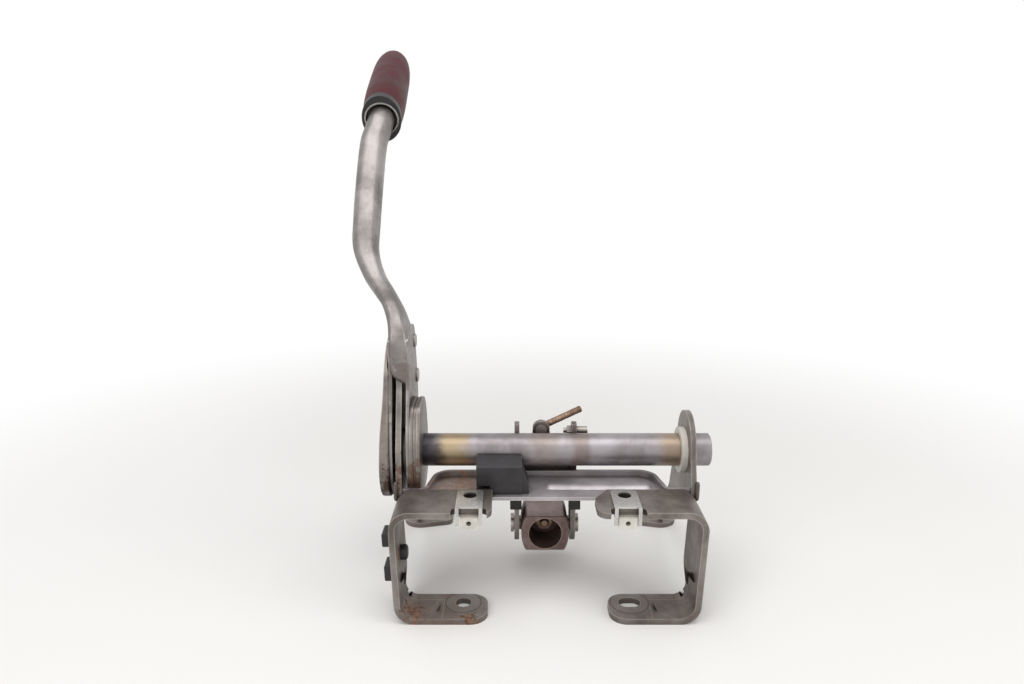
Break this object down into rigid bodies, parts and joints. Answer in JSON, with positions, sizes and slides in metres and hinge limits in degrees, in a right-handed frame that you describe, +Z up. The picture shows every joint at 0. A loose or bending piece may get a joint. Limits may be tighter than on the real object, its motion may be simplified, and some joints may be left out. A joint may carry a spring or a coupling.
{
  "type": "hand parking brake lever",
  "caption": "Hand parking brake lever with ratchet, release button, cross tube, cable fork, welded mounting frame and warning lamp switch.",
  "frame": {"origin": "on the axis of the cross tube, in the middle of the mounting frame", "axes": "+X along the cross tube to the right as seen by the driver, +Y forward in the car, +Z up; the feet stand on Z = -0.093"},
  "size_m": [0.2494, 0.2943, 0.3709],
  "materials": {
    "bracket_steel": "zinc-plated sheet, dulled, with rust patches",
    "web_steel": "bright plated sheet, brown stains at the left end",
    "plate_steel": "grey plated sheet",
    "lever_steel": "drawn steel, satin",
    "tube_steel": "drawn tube with heat tint beside the welds",
    "weld_steel": "weld bead, dark oxide",
    "spring_steel": "bright zinc",
    "wire_steel": "drawn wire",
    "pin_steel": "turned steel",
    "rod_steel": "threaded steel, light rust",
    "cup_iron": "brownish forged block",
    "ring_chrome": "polished",
    "ivory_nylon": "ivory nylon",
    "black_plastic": "fine grained",
    "switch_plastic": "moulded, slightly dusty",
    "black_gloss": "smooth",
    "black_rubber": "matt",
    "burgundy_leather": "smooth stitched-looking cover, fine grain",
    "terminal_brass": "dulled"
  },
  "bodies": {
    "frame": {"left_bracket": "bracket_steel", "right_bracket": "bracket_steel", "cross_plate": "web_steel", "right_side_plate": "plate_steel", "ratchet_plate": "plate_steel", "left_rear_foot": "bracket_steel", "right_rear_foot": "bracket_steel", "right_bush": "ivory_nylon", "left_bush": "ivory_nylon", "harness_clip": "black_plastic", "clip_nuts": "spring_steel", "clip_inserts": "ivory_nylon", "left_weld": "weld_steel", "right_weld": "weld_steel", "switch_body": "switch_plastic", "switch_terminals": "terminal_brass", "switch_spring": "wire_steel"},
    "lever": {"cross_tube": "tube_steel", "left_cheek": "lever_steel", "right_cheek": "lever_steel", "arm_foot": "lever_steel", "lever_arm": "lever_steel", "grip": "burgundy_leather", "grip_collar": "black_plastic", "grip_ring": "ring_chrome", "stop_pin": "pin_steel", "pawl_pin": "pin_steel", "cable_fork": "plate_steel", "arm_bumpers": "black_rubber", "link_pin": "pin_steel", "ear_bolt": "pin_steel", "ear_nut": "pin_steel", "switch_cam": "plate_steel", "button_spring": "wire_steel"},
    "button": {"release_button": "black_gloss", "release_rod": "wire_steel"},
    "pawl": {"pawl": "lever_steel"},
    "cup": {"cup": "cup_iron", "trunnion_pins": "pin_steel"},
    "adjuster": {"adjuster_nut": "rod_steel"},
    "rod": {"pull_rod": "rod_steel"},
    "link": {"link_stud": "rod_steel"},
    "plunger": {"switch_plunger": "ivory_nylon"}
  },
  "joints": [
    {"name": "lever_hinge", "type": "hinge", "parent": "frame", "child": "lever", "pos_m": [0, 0, 0], "axis": [1, 0, 0], "range_deg": [0, 32]},
    {"name": "button_slide", "type": "slide", "parent": "lever", "child": "button", "axis": [0.0316, -0.9058, -0.4226], "range_m": [-0.002, 0.004], "stiffness_N_per_m": 400, "springref_m": -0.002, "deforming": ["button_spring"]},
    {"name": "pawl_hinge", "type": "hinge", "parent": "lever", "child": "pawl", "pos_m": [-0.0958, 0.0179, 0.0718], "axis": [1, 0, 0], "range_deg": [-5.8, 11.6]},
    {"name": "cup_hinge", "type": "hinge", "parent": "lever", "child": "cup", "pos_m": [0.0007, 0.015, -0.062], "axis": [1, 0, 0], "range_deg": [-20, 20]},
    {"name": "nut_spin", "type": "hinge", "parent": "cup", "child": "adjuster", "pos_m": [0.0007, 0.0185, -0.062], "axis": [0, 1, 0], "range_deg": [-1441, 1441]},
    {"name": "rod_slide", "type": "slide", "parent": "cup", "child": "rod", "axis": [0, 1, 0], "range_m": [-0.004, 0.004]},
    {"name": "link_hinge", "type": "hinge", "parent": "lever", "child": "link", "pos_m": [-0.0022, 0.0182, 0.0093], "axis": [0, 1, 0], "range_deg": [-40, 4]},
    {"name": "plunger_slide", "type": "slide", "parent": "frame", "child": "plunger", "axis": [0, 1, 0], "range_m": [0, 0.0031]}
  ],
  "couplings": [
    {"joint": "pawl_hinge", "follows": "button_slide", "rad_per_m": 50},
    {"joint": "nut_spin", "follows": "rod_slide", "rad_per_m": 6283.2},
    {"joint": "plunger_slide", "follows": "lever_hinge", "m_per_rad": 0.00537}
  ]
}
